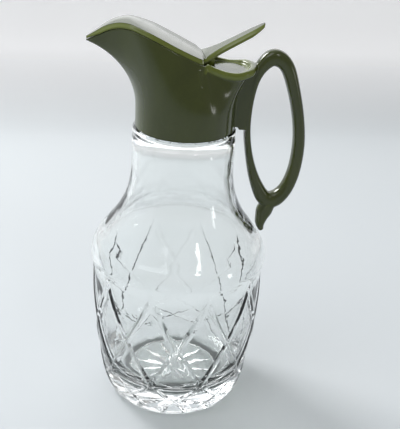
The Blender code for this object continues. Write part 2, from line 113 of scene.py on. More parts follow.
# Screw thread on both parts.
THREAD_PITCH = 4.0
THREAD_TURNS = 1.25
THREAD_START = LIP_Z - 7.4
THREAD_HEIGHT = 1.2

# Pouring top.
SKIRT_RADIUS = 21.2
SKIRT_BORE = 19.5
SKIRT_BOTTOM = 133.1
SKIRT_TOP = 142.0
FLANGE_BOTTOM = 145.8
FLANGE_TOP = 147.4
FLANGE_BORE = 15.5
FLANGE_RADIUS = 20.2
WALL = 1.8
SPOUT_TIP = TOP_LOW[0]
WELL_END = 28.6
RIM_OUTLINE_MM = [
    (SPOUT_TIP, 0.0), (-41.0, 1.2), (-36.0, 3.1), (-29.0, 6.6), (-22.0, 11.2), (-14.0, 14.8),
    (-6.0, 15.7), (2.0, 14.6), (9.0, 12.3), (17.0, 11.5), (23.0, 9.9), (26.8, 6.5), (WELL_END, 0.0),
]
LID_EDGE_MM = [
    (-42.0, 170.5), (-38.0, 173.0), (-34.0, 175.5), (-30.0, 177.2), (-26.0, 177.8),
    (-22.0, 177.2), (-14.0, 174.2), (-6.0, 170.3), (2.0, 166.4), (6.0, 164.6),
]
REAR_RIM_MM = [(6.0, 164.0), (11.0, 161.6), (16.0, 160.1), (21.0, 159.7), (28.6, 161.1)]
SEAT_END = 6.0
DECK_TOP = 157.0
DECK_THICKNESS = 1.6
SHELF_START = 11.6
SHELF_TOP = 159.0
HANDLE_RING_MM = [
    (36.8, 163.7, 3.6, 3.6), (42.4, 159.8, 3.1, 3.6), (46.8, 148.3, 2.7, 3.5), (50.0, 135.0, 2.6, 3.5),
    (51.1, 123.5, 2.7, 3.5), (50.1, 111.8, 2.8, 3.5), (47.0, 103.0, 3.1, 3.5), (42.0, 98.4, 3.8, 3.6),
    (37.2, 99.8, 3.4, 3.5), (32.5, 108.8, 2.4, 3.2), (29.3, 119.5, 1.7, 3.0), (27.5, 131.0, 1.5, 3.0),
    (27.6, 143.0, 1.5, 3.0), (29.0, 153.5, 2.0, 3.1), (32.0, 160.4, 2.9, 3.4),
]
HANDLE_TAIL_MM = [
    (41.0, 98.5, 3.0, 3.3), (38.6, 93.0, 3.7, 3.3), (37.5, 89.3, 2.8, 3.1),
    (37.1, 86.2, 2.1, 2.8), (37.8, 83.2, 1.2, 2.0),
]
WEB_HALF_THICKNESS = 2.8
EAR_RADIUS = 1.9

# Lid and lever.
LID_THICKNESS = 1.8
LID_CROWN = 0.78
LID_BEVEL = 1.5
LID_SEAT_GAP = 0.12
LID_WING_END = 5.0
LID_LEAST_HALF_WIDTH = 0.35
CREASE_X = 6.5
LEVER_SLOPE = math.tan(math.radians(28.5))
LEVER_THICKNESS = 2.4
LEVER_TIP = LID_HIGH[0]
LEVER_OUTLINE_MM = [
    (LID_WING_END, 13.2), (5.8, 9.8), (8.2, 7.3), (12.0, 5.4), (16.0, 4.6), (23.0, 4.1),
    (27.5, 3.6), (30.1, 2.5), (31.1, 1.2), (LEVER_TIP, 0.0),
]
KNUCKLE_RADIUS = 2.4
KNUCKLE_HALF_WIDTH = 6.8
PIN_HOLE_RADIUS = 1.15

RIM_STEPS = 110
WALL_STEPS = 40
VOXEL = 0.38

# Stage, in metres: where the floor starts to bend up, the bend's radius and the wall's top.
STAGE_BEND_START = 0.34
STAGE_BEND = 0.14
STAGE_HEIGHT = 0.17

# Direction in which the room around the stage is bright.
BRIGHT_SIDE = (-0.62, 0.70, 0.35)

# Camera: place in metres, lens in millimetres, and heading, pitch (down) and roll in degrees.
CAMERA_PLACE = (-0.039646, -0.322888, 0.249785)
CAMERA_LENS = 67.13
CAMERA_HEADING = -8.588
CAMERA_PITCH = 25.993
CAMERA_ROLL = 3.480


# ---------------------------------------------------------------- curves and meshes

def smooth_path(points, steps, closed=False):
    """Returns a Catmull-Rom curve through the points, with the given steps between them."""
    points = np.array(points, dtype=float)
    if closed:
        padded = np.vstack([points[-1:], points, points[:2]])
        spans = len(points)
    else:
        padded = np.vstack([2 * points[0] - points[1], points, 2 * points[-1] - points[-2]])
        spans = len(points) - 1
    t = (np.arange(steps) / steps)[:, None]
    curve = []
    for span in range(spans):
        before, start, end, after = padded[span:span + 4]
        square = 2 * before - 5 * start + 4 * end - after
        cube = 3 * start - before - 3 * end + after
        curve.append(0.5 * (2 * start + (end - before) * t + square * t ** 2 + cube * t ** 3))
    if not closed:
        curve.append(points[-1:])
    return np.vstack(curve)


def resample(points, count):
    """Returns count points spaced evenly along a polyline."""
    lengths = np.linalg.norm(np.diff(points, axis=0), axis=1)
    travelled = np.concatenate([[0.0], np.cumsum(lengths)])
    wanted = np.linspace(0.0, travelled[-1], count)
    return np.column_stack([np.interp(wanted, travelled, column) for column in points.T])


def ease(value, low, high):
    """Returns a smooth step from 0 at low to 1 at high."""
    t = np.clip((value - low) / (high - low), 0.0, 1.0)
    return t * t * (3 - 2 * t)


def make_object(name, vertices, faces, scale=MM):
    """Links a mesh object made of points in millimetres, with its faces turned outward."""
    mesh = bpy.data.meshes.new(name)
    mesh.from_pydata((np.asarray(vertices) * scale).tolist(), [], faces)
    sorted_out = bmesh.new()
    sorted_out.from_mesh(mesh)
    bmesh.ops.recalc_face_normals(sorted_out, faces=sorted_out.faces)
    sorted_out.to_mesh(mesh)
    sorted_out.free()
    thing = bpy.data.objects.new(name, mesh)
    bpy.context.scene.collection.objects.link(thing)
    return thing


def ring_faces(ring_count, size, closed=False, caps=False, first=0):
    """Returns the quads between a row of rings of equal size, with optional end caps."""
    spans = ring_count if closed else ring_count - 1
    low = np.arange(spans)[:, None] * size
    high = (np.arange(1, spans + 1) % ring_count)[:, None] * size
    here = np.arange(size)[None, :]
    there = (here + 1) % size
    quads = np.stack([low + here, low + there, high + there, high + here], axis=-1) + first
    faces = quads.reshape(-1, 4).tolist()
    if caps:
        faces.append((np.arange(size)[::-1] + first).tolist())
        faces.append((np.arange(size) + (ring_count - 1) * size + first).tolist())
    return faces


def loft(name, rings, closed=False, scale=MM):
    """Skins a row of equal rings into a solid, capped at both ends or closed on itself."""
    faces = ring_faces(len(rings), len(rings[0]), closed, caps=not closed)
    return make_object(name, np.vstack(rings), faces, scale)


def turned_ring(name, section, segments, scale=MM):
    """Turns a closed (radius, height) section about Z."""
    angles = np.linspace(0.0, 2 * math.pi, segments, endpoint=False)
    rings = [np.array([(r * math.cos(a), r * math.sin(a), z) for r, z in section]) for a in angles]
    return loft(name, rings, closed=True, scale=scale)


def prism(name, outline, axis, low, high, scale=MM):
    """Extrudes a flat outline along Y or Z."""
    rings = []
    for level in (low, high):
        if axis == "Y":
            rings.append(np.array([(x, level, z) for x, z in outline]))
        else:
            rings.append(np.array([(x, y, level) for x, y in outline]))
    return loft(name, rings, scale=scale)


def rounded_box_section(low, high, radius, steps=5):
    """Returns a rectangle's outline with rounded corners, for corners given as (u, v)."""
    centres = [(high[0] - radius, high[1] - radius, 0), (low[0] + radius, high[1] - radius, 90),
               (low[0] + radius, low[1] + radius, 180), (high[0] - radius, low[1] + radius, 270)]
    outline = []
    for u, v, start in centres:
        for step in range(steps + 1):
            angle = math.radians(start + 90 * step / steps)
            outline.append((u + radius * math.cos(angle), v + radius * math.sin(angle)))
    return outline


def set_painted_highlight(thing, painted_highlight):
    """Stores the painted highlight on each vertex of a moulding's rim, from 0 to 1, which its material
    paints as a paler olive.
    """
    points = np.zeros(len(thing.data.vertices) * 3)
    thing.data.vertices.foreach_get("co", points)
    amount = painted_highlight(*(points.reshape(-1, 3) / MM).T)
    stored = thing.data.attributes.new("painted_highlight", "FLOAT", "POINT")
    stored.data.foreach_set("value", amount.astype(np.float32))


def apply_modifier(thing, kind, **settings):
    """Adds a modifier with these settings and applies it to the object's mesh."""
    modifier = thing.modifiers.new(kind, kind)
    for key, value in settings.items():
        setattr(modifier, key, value)
    graph = bpy.context.evaluated_depsgraph_get()
    result = bpy.data.meshes.new_from_object(thing.evaluated_get(graph))
    thing.modifiers.clear()
    thing.data = result


def shade(thing, sharp_angle=None):
    """Shades an object smooth, with sharp edges above an angle if one is given."""
    thing.data.shade_smooth()
    if sharp_angle is not None:
        thing.data.set_sharp_from_angle(angle=math.radians(sharp_angle))


def join(target, others):
    """Joins the other objects' meshes into target."""
    joined = bmesh.new()
    for thing in [target] + others:
        joined.from_mesh(thing.data)
    joined.to_mesh(target.data)
    joined.free()
    for thing in others:
        bpy.data.objects.remove(thing)


def relax(thing, rounds, grow=-0.53, shrink=0.5):
    """Smooths a mesh without shrinking it, by turns of pulling in and pushing out."""
    mesh = thing.data
    points = np.zeros(len(mesh.vertices) * 3)
    mesh.vertices.foreach_get("co", points)
    points = points.reshape(-1, 3)
    edges = np.zeros(len(mesh.edges) * 2, dtype=np.int64)
    mesh.edges.foreach_get("vertices", edges)
    start, end = edges.reshape(-1, 2).T
    degree = np.bincount(np.concatenate([start, end]), minlength=len(points))[:, None]
    for _ in range(rounds):
        for weight in (shrink, grow):
            total = np.zeros_like(points)
            for axis in range(3):
                total[:, axis] = (np.bincount(start, points[end, axis], len(points))
                                  + np.bincount(end, points[start, axis], len(points)))
            points = points + weight * (total / np.maximum(degree, 1) - points)
    mesh.vertices.foreach_set("co", points.ravel())
    mesh.update()


# ---------------------------------------------------------------- glass

def rib_samples():
    """Returns the angles of the mesh lines in one turn, dense at each rib's edges."""
    steps = [0.0, 0.6, 1.15, 1.6, 2.0, 2.35, 2.65, 2.9, RIB_HALF, 3.2, 3.4, 4.2,
             5.8, 7.6, 9.5, 11.5, 13.6, 15.8]
    half = RIB_PERIOD / 2
    period = np.array([-s for s in steps[:0:-1]] + steps + [half])
    return np.concatenate([period + RIB_PERIOD * k for k in range(RIB_COUNT)])


def rib_section(offset):
    """Returns the height, 0 to 1, of a half-round rib at an angle from its middle."""
    away = np.abs((offset + RIB_PERIOD / 2) % RIB_PERIOD - RIB_PERIOD / 2) / RIB_HALF
    return np.clip(1.0 - away ** 1.5, 0.0, 1.0)


def rib_relief(angle, height):
    """Returns how far the ribs stand out at an angle in degrees and a height."""
    levels = np.array(SPREAD)[::-1]
    curve = smooth_path(levels, 12)
    spread = np.interp(height, curve[:, 0], curve[:, 1])
    left = rib_section(angle + spread)
    right = rib_section(angle - spread)
    both = np.where(spread >= 0.0, np.maximum(left, right), np.minimum(left, right))
    return RIB_HEIGHT * both * (1.0 - ease(height, *RIB_FADE_OUT))


def glass_wall_curve():
    """Returns the outer wall between the ribs, as (radius, height) from the foot to the ledge."""
    return smooth_path(HEEL_MM + BELLY_MM + SHOULDER_MM + NECK_MM, 16)


def band_block(samples):
    """Returns the ribbed band's points and faces. Its mesh lines run along the ribs both ways,
    so point (j, k) is where right-hand line j meets left-hand line j + k."""
    count = len(samples)
    per_period = count // RIB_COUNT
    depth = BAND_TURNS * per_period
    turns = np.arange(count + depth + 1)
    lines = samples[turns % count] + 360.0 * (turns // count)
    j = np.arange(count)[:, None]
    k = np.arange(depth + 1)[None, :]
    left = lines[j + k]
    right = np.broadcast_to(lines[j], left.shape)
    spread = (left - right) / 2
    curve = smooth_path(np.array(SPREAD), 12)
    height = np.interp(spread, curve[:, 1], curve[:, 0])
    angle = (left + right) / 2
    wall = glass_wall_curve()
    radius = np.interp(height, wall[:, 1], wall[:, 0])
    ribs = np.maximum(rib_section(left), rib_section(right))
    radius = radius + RIB_HEIGHT * ribs * ease(height, *RIB_FADE_IN)
    turn = np.radians(angle + RIB_PHASE)
    points = np.stack([radius * np.cos(turn), radius * np.sin(turn), height], axis=-1).reshape(-1, 3)
    width = depth + 1
    faces = []
    for line in range(count):
        here = line * width
        there = (line + 1) % count * width
        faces.append((here, here + 1, there))
        faces.extend((here + s, here + s + 1, there + s, there + s - 1) for s in range(1, depth))
        faces.append((here + depth, there + depth, there + depth - 1))
    return points, faces, per_period, depth


def thread_relief(angle, height, start):
    """Returns the thread's height, 0 to 1, for a ridge that begins at angle 0 and climbs."""
    relief = np.zeros_like(height)
    for turn in range(int(THREAD_TURNS) + 1):
        along = angle / 360.0 + turn
        middle = start + THREAD_PITCH * along
        ridge = 1.0 - ease(np.abs(height - middle), 0.35, 0.80)
        fade = ease(along, 0.0, 0.03) * (1.0 - ease(along, THREAD_TURNS - 0.03, THREAD_TURNS))
        relief = np.maximum(relief, ridge * fade)
    return relief


def finish_rows():
    """Returns the rows of the ledge, the threaded finish, the lip and the mouth."""
    rows = [(22.35, LEDGE_Z - 0.7), (22.1, LEDGE_Z - 0.2), (21.5, LEDGE_Z), (19.6, LEDGE_Z)]
    rows.append((FINISH_RADIUS + 0.3, LEDGE_Z))
    rows += [(FINISH_RADIUS, z) for z in np.arange(LEDGE_Z + 0.35, LIP_Z - 0.9, 0.22)]
    for angle in np.radians(np.linspace(0.0, 90.0, 6)):
        rows.append((FINISH_RADIUS - 0.8 + 0.8 * math.cos(angle),
                     LIP_Z - 0.8 + 0.8 * math.sin(angle)))
    for angle in np.radians(np.linspace(90.0, 180.0, 6)):
        rows.append((MOUTH_RADIUS + 0.7 + 0.7 * math.cos(angle),
                     LIP_Z - 0.7 + 0.7 * math.sin(angle)))
    return rows


def star_relief(angle, radius):
    """Returns the depth of the star's V-shaped rays at an angle in degrees and a radius."""
    spacing = 360.0 / STAR_RAYS
    away = np.abs((angle - STAR_PHASE + spacing / 2) % spacing - spacing / 2)
    across = np.radians(away) * radius
    along = np.clip((radius - STAR_INNER) / (STAR_OUTER - STAR_INNER), 0.0, 1.0)
    width = STAR_HALF_WIDTH * np.sin(math.pi * along) ** 0.8 + 1e-6
    return STAR_DEPTH * (width / STAR_HALF_WIDTH) * np.clip(1.0 - across / width, 0.0, 1.0)


def glass_rows():
    """Returns the (radius, height) rows below and above the ribbed band, in order."""
    wall = glass_wall_curve()
    low = min(z for z, _ in SPREAD)
    heel = wall[(wall[:, 1] < low - 0.15)]
    middle = np.interp(0.0, *smooth_path(np.array(SPREAD), 12)[:, ::-1].T)
    apex = [(np.interp(z, wall[:, 1], wall[:, 0]), z) for z in np.arange(middle + 0.3, 71.5, 0.3)]
    above = wall[wall[:, 1] > 71.6]
    under = [(r, RECESS_DEPTH) for r in np.linspace(0.6, RECESS_RADIUS - 1.6, 34)]
    under += [(RECESS_RADIUS - 0.9, RECESS_DEPTH - 0.1), (RECESS_RADIUS - 0.25, 0.6), (RECESS_RADIUS, 0.0)]
    inside = smooth_path(THROAT_MM + INSIDE_MM, 5)
    floor = [(r, FLOOR_Z) for r in np.linspace(18.0, 0.8, 12)]
    upper = apex + above.tolist() + finish_rows() + inside.tolist() + floor
    return under + heel.tolist(), upper


def row_points(rows, angles, even_below, even_above):
    """Turns rows into points. Away from the ribbed band the columns are spaced evenly."""
    even = angles[0] + np.arange(len(angles)) * 360.0 / len(angles)
    even += np.mean(angles - even)
    table = np.array(rows)
    radius, height = table[:, :1], table[:, 1:]
    share = np.maximum(ease(height, *even_above), 1.0 - ease(height, *even_below))
    inner_side = np.arange(len(rows))[:, None] > np.argmax(table[:, 1])
    share = np.where(inner_side, 1.0, share)
    angle = share * even[None, :] + (1.0 - share) * angles[None, :]
    return radius, height, angle


def make_glass():
    """Makes the jar as one closed solid: star, foot, ribbed band, shoulder, thread and inside."""
    samples = rib_samples()
    count = len(samples)
    band, band_faces, per_period, depth = band_block(samples)
    below, above = glass_rows()

    radius, height, angle = row_points(below, samples, (1.5, 5.0), (900.0, 901.0))
    turn = np.radians(angle + RIB_PHASE)
    under = height >= RECESS_DEPTH - 0.01
    lift = np.where(under & (radius < RECESS_RADIUS), star_relief(angle + RIB_PHASE, radius), 0.0)
    low_points = np.stack([radius * np.cos(turn), radius * np.sin(turn), height + lift], axis=-1)

    radius, height, angle = row_points(above, samples, (-2.0, -1.0), (70.0, 78.0))
    outer = np.arange(len(above))[:, None] <= np.argmax([z for _, z in above])
    relief = np.where(outer, rib_relief(angle, height), 0.0)
    on_finish = outer & (height > LEDGE_Z + 0.2) & (height < LIP_Z - 0.9)
    world = (angle + RIB_PHASE) % 360.0
    thread = THREAD_HEIGHT * thread_relief(world, height, THREAD_START)
    relief = relief + np.where(on_finish, thread, 0.0)
    turn = np.radians(angle + RIB_PHASE)
    high_points = np.stack([(radius + relief) * np.cos(turn), (radius + relief) * np.sin(turn),
                            np.broadcast_to(height, relief.shape)], axis=-1)

    poles = np.array([(0.0, 0.0, RECESS_DEPTH), (0.0, 0.0, FLOOR_Z)])
    first_band = low_points.shape[0] * count
    first_high = first_band + len(band)
    first_pole = first_high + high_points.shape[0] * count
    points = np.vstack([low_points.reshape(-1, 3), band, high_points.reshape(-1, 3), poles])

    faces = ring_faces(low_points.shape[0], count)
    faces += [tuple(first_band + corner for corner in face) for face in band_faces]
    faces += ring_faces(high_points.shape[0], count, first=first_high)
    width = depth + 1
    shift = BAND_TURNS * per_period // 2
    last_low = (low_points.shape[0] - 1) * count
    last_high = first_high + (high_points.shape[0] - 1) * count
    for column in range(count):
        beside = (column + 1) % count
        foot = first_band + (column - shift) % count * width + depth
        foot_beside = first_band + (beside - shift) % count * width + depth
        faces.append((last_low + column, last_low + beside, foot_beside, foot))
        faces.append((first_band + column * width, first_band + beside * width,
                      first_high + beside, first_high + column))
        faces.append((first_pole, beside, column))
        faces.append((first_pole + 1, last_high + column, last_high + beside))
    glass = make_object("jug_glass", points, faces)
    shade(glass, 50)
    return glass


# ---------------------------------------------------------------- pouring top

def line_height(line, x):
    """Reads the height of an (x, z) line at x, on a smooth curve through its points."""
    curve = smooth_path(line, 12)
    return np.interp(x, curve[:, 0], curve[:, 1])


def rim_half_outline(inset):
    """Returns the rim's half outline, moved inward by inset, from the front to the back."""
    before = [(x, -y) for x, y in RIM_OUTLINE_MM[1:2]]
    after = [(x, -y) for x, y in RIM_OUTLINE_MM[-2:-1]]
    mirrored = before + RIM_OUTLINE_MM + after
    outer = smooth_path(mirrored, 24)[24:-24]
    along = np.gradient(outer, axis=0)
    along /= np.linalg.norm(along, axis=1)[:, None]
    inward = np.column_stack([along[:, 1], -along[:, 0]])
    moved = outer + inset * inward
    kept = moved[moved[:, 1] > 0.2] if inset > 0 else moved[1:-1]
    front = (kept[0, 0] - 0.3, 0.0) if inset > 0 else outer[0]
    back = (kept[-1, 0] + 0.1, 0.0) if inset > 0 else outer[-1]
    return resample(np.vstack([[front], kept, [back]]), RIM_STEPS + 1)


def rim_height(x):
    """Returns the rim's height: the lid's seat in front, and the open rim behind the lid."""
    seat = line_height(LID_EDGE_MM, x) - LID_THICKNESS - LID_SEAT_GAP
    seat = seat + 0.75 * np.clip((-36.5 - x) / 5.0, 0.0, 1.0)
    rear = line_height(REAR_RIM_MM, x)
    share = ease(x, SEAT_END - 0.4, SEAT_END + 0.9)
    return (1.0 - share) * seat + share * rear


def flare_height(x):
    """Returns the height that the wall flares towards. Beside the hinge it runs on without the
    seat's step, so that the wall below keeps one curve."""
    plain = np.where(x < SEAT_END, line_height(LID_EDGE_MM, x), line_height(REAR_RIM_MM, x))
    share = ease(x, -14.0, -6.0)
    return (1.0 - share) * rim_height(x) + share * plain


def bezier(start, lower, upper, end, v):
    """Returns the point at v on a cubic curve."""
    u = 1.0 - v
    return u ** 3 * start + 3 * u * u * v * lower + 3 * u * v * v * upper + v ** 3 * end


def whole_loop(half):
    """Mirrors a half outline, from front to back along +Y, into a closed anticlockwise loop."""
    return np.vstack([half[1:-1] * (1.0, -1.0), half[::-1]])


def wall_rings(radius, base_height, inset, upright, steps):
    """Returns the wall's rings from its round base up to its rim. Each column is a Bezier
    curve that starts upright and flares out towards the rim."""
    loop = whole_loop(rim_half_outline(inset))
    count = len(loop)
    angles = math.pi + 2 * math.pi * (np.arange(count) + 1) / count
    base = np.column_stack([radius * np.cos(angles), radius * np.sin(angles),
                            np.full(count, base_height)])
    rim = np.column_stack([loop, flare_height(loop[:, 0])])
    run = (rim - base)[:, :2]
    outward = np.sum(run * base[:, :2], axis=1) / radius
    lean = 0.35 + 0.35 * ease(outward, -3.0, 6.0)
    climb = rim[:, 2] - base[:, 2]
    lower = base + np.column_stack([np.zeros(count), np.zeros(count), upright * climb])
    upper = rim - np.column_stack([lean[:, None] * run, 9.0 - 0.16 * np.maximum(outward, 0.0)])
    stop = rim_height(loop[:, 0])
    fine = np.linspace(0.0, 1.0, 61)
    heights = bezier(base[:, 2], lower[:, 2], upper[:, 2], rim[:, 2], fine[:, None])
    cut = np.array([np.interp(stop[i], heights[:, i], fine) for i in range(count)])
    cut = np.where(rim[:, 2] - stop > 1e-4, cut, 1.0)[:, None]
    return [bezier(base, lower, upper, rim, v * cut) for v in np.linspace(0.0, 1.0, steps + 1)]


def outer_wall():
    """Returns the rings of the wall's outer face."""
    return wall_rings(SKIRT_RADIUS, SKIRT_TOP, 0.0, 0.36, WALL_STEPS)


def add_bead(rings):
    """Thickens the open rim behind the lid into a rounded bead."""
    top = rings[-1]
    amount = ease(top[:, 0], 5.9, 7.6)[:, None]
    direction = top[:, :2] - np.array([12.0, 0.0])
    direction /= np.linalg.norm(direction, axis=1)[:, None]
    plain = rings[-2]
    edge = []
    for drop, width in ((3.3, 0.1), (2.8, 0.62), (2.1, 0.92), (1.3, 1.0), (0.7, 0.86), (0.25, 0.5)):
        out = np.hstack([direction * width, np.full((len(top), 1), -drop)])
        share = 1.0 - drop / 4.0
        edge.append(amount * (top + out) + (1.0 - amount) * ((1.0 - share) * plain + share * top))
    return rings[:-1] + edge + [top]


def section_at(height, inset):
    """Returns the loop where a level cut meets the wall, moved inward by inset."""
    columns = np.array(outer_wall()).transpose(1, 0, 2)
    loop = []
    for column in columns:
        x = np.interp(height, column[:, 2], column[:, 0])
        y = np.interp(height, column[:, 2], column[:, 1])
        keep = 1 - inset / math.hypot(x, y)
        loop.append((x * keep, y * keep))
    return loop


def sweep(name, stations, closed, sides=36, scale=MM):
    """Sweeps a rounded section along a line in XZ. A station is (x, z, half width, half depth)."""
    stations = np.array(stations)
    count = len(stations)
    rings = []
    angle = np.linspace(0.0, 2 * math.pi, sides, endpoint=False)
    bulge = 2.4
    across = np.sign(np.cos(angle)) * np.abs(np.cos(angle)) ** (2 / bulge)
    aside = np.sign(np.sin(angle)) * np.abs(np.sin(angle)) ** (2 / bulge)
    for i in range(count):
        before = stations[(i - 1) % count] if closed else stations[max(i - 1, 0)]
        after = stations[(i + 1) % count] if closed else stations[min(i + 1, count - 1)]
        tangent = (after - before)[:2] / np.linalg.norm((after - before)[:2])
        normal = np.array([tangent[1], -tangent[0]])
        x, z, width, depth = stations[i]
        rings.append(np.column_stack([x + width * across * normal[0], depth * aside,
                                      z + width * across * normal[1]]))
    return loft(name, rings, closed=closed, scale=scale)


def shell_part(scale):
    """Makes the hollow body, open below and at its rim."""
    outer = outer_wall()
    skirt = [outer[0] * (1, 1, 0) + (0, 0, z) for z in (SKIRT_BOTTOM, 134.5, 136.5, 138.5, 140.5)]
    inner = wall_rings(SKIRT_BORE, FLANGE_BOTTOM, WALL, 0.20, WALL_STEPS)
    bore = [inner[0] * (1, 1, 0) + (0, 0, z) for z in (SKIRT_BOTTOM, 136.0, 139.0, 142.0)]
    return loft("shell", skirt + add_bead(outer) + (bore + inner)[::-1], closed=True, scale=scale)


def web_part(scale):
    """Makes the plate that joins the handle's front arm to the back of the shell."""
    rear = np.array(outer_wall())[:, RIM_STEPS - 1]
    heights = np.linspace(157.5, SKIRT_TOP, 9)
    wall = [(np.interp(h, rear[:, 2], rear[:, 0]) - WALL / 2, h) for h in heights]
    foot = SKIRT_BOTTOM + 0.4
    wall += [(SKIRT_RADIUS - WALL / 2, foot), (23.0, foot), (23.3, foot - 1.2)]
    front_arm = [(27.2, foot - 1.2), (27.2, 143.0), (28.7, 153.0), (31.2, 159.2)]
    return prism("web", front_arm + wall, "Y", -WEB_HALF_THICKNESS, WEB_HALF_THICKNESS, scale)


def well_parts(scale):
    """Makes the rear well's deck and shelf, the dam before the hinge and the hinge's ears."""
    middle = DECK_TOP - DECK_THICKNESS / 2
    edge = 3.1
    loop = [(x, y) for x, y in section_at(middle, WALL / 2) if x > edge]
    turned = sorted(loop, key=lambda point: math.atan2(point[1], point[0] - edge))
    side = max(y for _, y in turned)
    deck = prism("deck", [(edge, -side)] + turned + [(edge, side)], "Z",
                 DECK_TOP - DECK_THICKNESS, DECK_TOP, scale)
    high = [(x, y) for x, y in section_at(158.0, WALL / 2) if x > SHELF_START]
    high.sort(key=lambda point: math.atan2(point[1], point[0] - SHELF_START))
    side = max(y for _, y in high)
    shelf = prism("shelf", [(SHELF_START, -side)] + high + [(SHELF_START, side)], "Z",
                  DECK_TOP - 0.5, SHELF_TOP, scale)
    rings = []
    for height in (DECK_TOP - DECK_THICKNESS + 0.3, 159.7, 162.3):
        half = max(y for x, y in section_at(height, WALL / 2) if abs(x - 2.4) < 2.5)
        rings.append(np.array([(2.4, -half, height), (4.0, -half, height),
                               (4.0, half, height), (2.4, half, height)]))
    parts = [deck, shelf, loft("dam", rings, scale=scale)]
    arc = np.radians(np.arange(0, 181, 10))
    outline = [(HINGE_X_MM - EAR_RADIUS, DECK_TOP - 0.8), (HINGE_X_MM + EAR_RADIUS, DECK_TOP - 0.8)]
    outline += [(HINGE_X_MM + EAR_RADIUS * math.cos(a), HINGE_Z_MM + EAR_RADIUS * math.sin(a))
                for a in arc]
    for low, high in ((-9.1, -7.2), (7.2, 9.1)):
        parts.append(prism("ear", outline, "Y", low, high, scale))
    return parts


def thread_part(scale):
    """Makes the collar's inner thread, half a pitch below the glass thread."""
    section = [(SKIRT_BORE + 0.5, -0.8), (18.2, -0.35), (18.2, 0.35), (SKIRT_BORE + 0.5, 0.8)]
    start = THREAD_START - THREAD_PITCH / 2
    rings = []
    for along in np.linspace(0.0, THREAD_TURNS, 151):
        turn = 2 * math.pi * along
        rings.append(np.array([(r * math.cos(turn), r * math.sin(turn), start + THREAD_PITCH * along + dz)
                               for r, dz in section]))
    return loft("top_thread", rings, scale=scale)


def rim_bead_painted_highlight(x, y, z):
    """Returns the painted highlight on the open rim behind the lid, a paler olive: its outer bead gets it,
    the rest doesn't.
    """
    below = rim_height(x) - z
    outward = np.hypot((x - 12.0) / 15.0, y / 12.5)
    behind_lid = ease(x, 4.5, 6.5) * (1.0 - ease(x, 26.0, 28.5))
    return behind_lid * (1.0 - ease(below, 2.2, 3.2)) * ease(outward, 0.80, 0.86)


def make_top():
    """Makes the pouring top as one moulding, with its inner corners filleted."""
    top = shell_part(1.0)
    flange = [(FLANGE_BORE, FLANGE_BOTTOM), (FLANGE_RADIUS, FLANGE_BOTTOM),
              (FLANGE_RADIUS, FLANGE_TOP), (FLANGE_BORE, FLANGE_TOP)]
    ring = sweep("ring", smooth_path(HANDLE_RING_MM, 14, closed=True), True, scale=1.0)
    tail = sweep("tail", smooth_path(HANDLE_TAIL_MM, 12), False, scale=1.0)
    parts = [turned_ring("flange", flange, 160, 1.0), web_part(1.0), thread_part(1.0), ring, tail]
    join(top, parts + well_parts(1.0))
    top.name = "top_moulding"
    apply_modifier(top, "REMESH", mode="VOXEL", voxel_size=VOXEL, adaptivity=0.0)
    relax(top, 9)
    top.data.transform(Matrix.Scale(MM, 4))
    # Painted highlight: the rim's outer bead behind the lid is painted a paler olive.
    set_painted_highlight(top, rim_bead_painted_highlight)
    shade(top)
    return top


# ---------------------------------------------------------------- lid, pin and ring

def lid_top_height(x):
    """Returns the height of the lid's upper edge, which folds up into the lever."""
    flap = line_height(LID_EDGE_MM, np.minimum(x, 6.0))
    crease = line_height(LID_EDGE_MM, 6.0)
    lever = crease + LEVER_SLOPE * (x - CREASE_X)
    return np.where(x < CREASE_X, flap, np.maximum(lever, crease))


def lid_stations():
    """Returns the lid's half outline from the spout's tip to the lever's tip."""
    front = rim_half_outline(0.0)
    front = front[(front[:, 0] < LID_WING_END - 0.8) & (front[:, 0] > SPOUT_TIP + 0.05)]
    front = front + (0.4, 0.0) * (front[:, :1] < -39.5)
    lever = smooth_path(LEVER_OUTLINE_MM, 10)
    return np.vstack([front, lever[:-1]])


def lid_ring(x, half_width, sides=14):
    """Returns one cross-section of the lid or lever, with rounded edges."""
    edge = float(lid_top_height(x))
    blend = float(ease(x, LID_WING_END, LID_WING_END + 4.0))
    thickness = LID_THICKNESS + (LEVER_THICKNESS - LID_THICKNESS) * blend
    thickness *= 1.0 - 0.4 * min(max((x - 26.0) / 5.0, 0.0), 1.0)
    thickness *= 1.0 - 0.5 * min(max((-36.0 - x) / 5.0, 0.0), 1.0)
    crown = LID_CROWN * (1.0 - blend) * min(half_width / 10.0, 1.0)
    crease = 0.30 * math.exp(-((x - CREASE_X) / 0.22) ** 2)
    slant = min(LID_BEVEL, 0.45 * half_width)
    drop = min(0.70 * thickness, 0.85 * slant)
    under = min(0.2 * thickness, 0.25, 0.5 * half_width)
    top, bottom = [], []
    corner = np.radians(np.linspace(0.0, 90.0, 5))
    for s in np.linspace(-1.0, 1.0, sides):
        y = s * (half_width - slant)
        top.append((y, edge + crown * (1.0 - (y / half_width) ** 2) - crease))
        y = s * (half_width - under)
        bottom.append((y, edge - thickness + crown * (1.0 - (y / half_width) ** 2)))
    right = [(half_width - slant * (1.0 - along), edge - drop * fall)
             for along, fall in ((0.10, 0.05), (0.5, 0.44), (0.88, 0.84), (0.97, 0.94), (1.0, 1.06))]
    right += [(half_width - under + under * math.cos(a),
               edge - thickness + under - under * math.sin(a)) for a in corner[:-1]]
    left = [(-y, z) for y, z in right[::-1]]
    outline = top + right + bottom[::-1] + left
    return np.array([(x, y, z) for y, z in outline])


def lid_edge_painted_highlight(x, y, z):
    """Returns the painted highlight on the lid, a paler olive: its slanted edge gets it, its top and
    underside don't.
    """
    stations = np.array(lid_stations())
    order = np.argsort(stations[:, 0], kind="stable")
    half_width = np.interp(x, stations[order, 0], stations[order, 1])
    slant = np.minimum(LID_BEVEL, 0.45 * half_width)
    return ease(np.abs(y) - half_width + slant, 0.0, 0.15) * ease(z, 163.0, 164.0)


